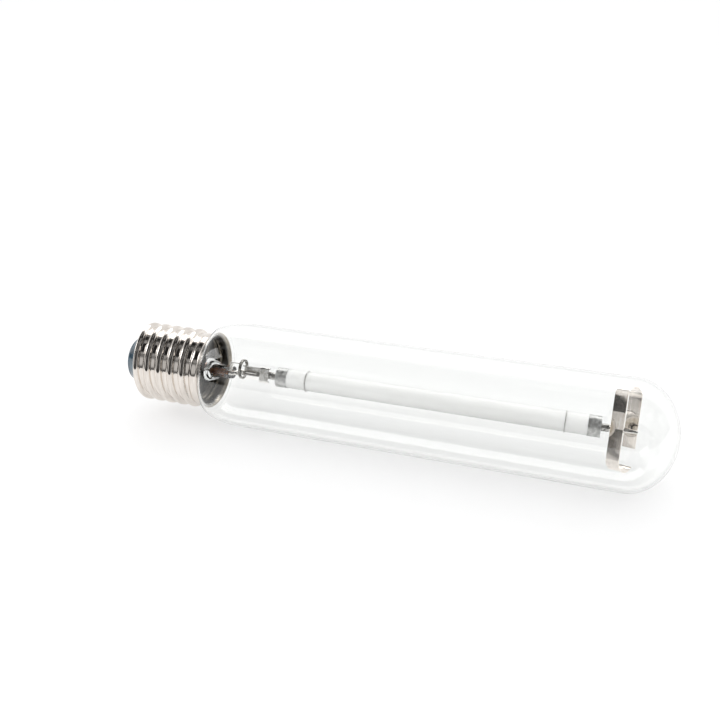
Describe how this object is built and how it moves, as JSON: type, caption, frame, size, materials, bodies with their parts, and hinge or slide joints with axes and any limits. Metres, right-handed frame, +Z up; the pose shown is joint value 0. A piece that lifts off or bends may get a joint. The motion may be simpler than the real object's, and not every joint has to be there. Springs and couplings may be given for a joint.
{
  "type": "high pressure sodium lamp",
  "caption": "Clear tubular high pressure sodium lamp with a large screw cap, translucent arc tube and dome end support strap.",
  "frame": {"origin": "centre of the flat end of the cap's centre contact, on the lamp's axis", "axes": "+X along the lamp from the contact to the dome, +Z up as the lamp lies on a table"},
  "size_m": [0.2676, 0.0514, 0.0514],
  "materials": {
    "nickel_shell": "bright nickel plate",
    "cap_glass": "dark fused glass",
    "contact_brass": "stamped",
    "solder": "dull solder",
    "clear_glass": "clear",
    "stem_glass": "clear, thick",
    "copper_seal": "oxidised copper colour",
    "nickel_wire": "drawn nickel",
    "getter_steel": "stamped, darkened",
    "bright_strip": "bright nickel strip",
    "arc_ceramic": "translucent alumina",
    "niobium": "mottled",
    "amalgam": "dull",
    "dark_wire": "dark drawn wire",
    "spring_steel": "bright spring strip",
    "plug_ceramic": "sintered alumina",
    "frit": "fired frit",
    "shield_foil": "mottled foil",
    "tungsten": "tungsten"
  },
  "bodies": {
    "root": {"amalgam_pellet": "amalgam", "arc_tube": "arc_ceramic", "base_clip": "bright_strip", "bridge_strip": "bright_strip", "cap_insulator": "cap_glass", "cap_shell": "nickel_shell", "centre_contact": "contact_brass", "connector_strip": "bright_strip", "contact_lead": "nickel_wire", "contact_solder": "solder", "dome_pin": "nickel_wire", "electrode_coil_base": "tungsten", "electrode_coil_dome": "tungsten", "electrode_shank_base": "tungsten", "electrode_shank_dome": "tungsten", "end_plug_base": "plug_ceramic", "end_plug_dome": "plug_ceramic", "frame_rod": "nickel_wire", "frit_seal_base": "frit", "frit_seal_dome": "frit", "getter_ring": "getter_steel", "getter_tab": "bright_strip", "heat_shield_base": "shield_foil", "heat_shield_dome": "shield_foil", "ignition_wire": "dark_wire", "live_post": "nickel_wire", "niobium_tube_base": "niobium", "niobium_tube_dome": "niobium", "outer_bulb": "clear_glass", "seal_wire_live": "copper_seal", "seal_wire_return": "copper_seal", "shell_lead": "nickel_wire", "spring_strap": "spring_steel", "stem_glass": "stem_glass"}
  },
  "joints": []
}
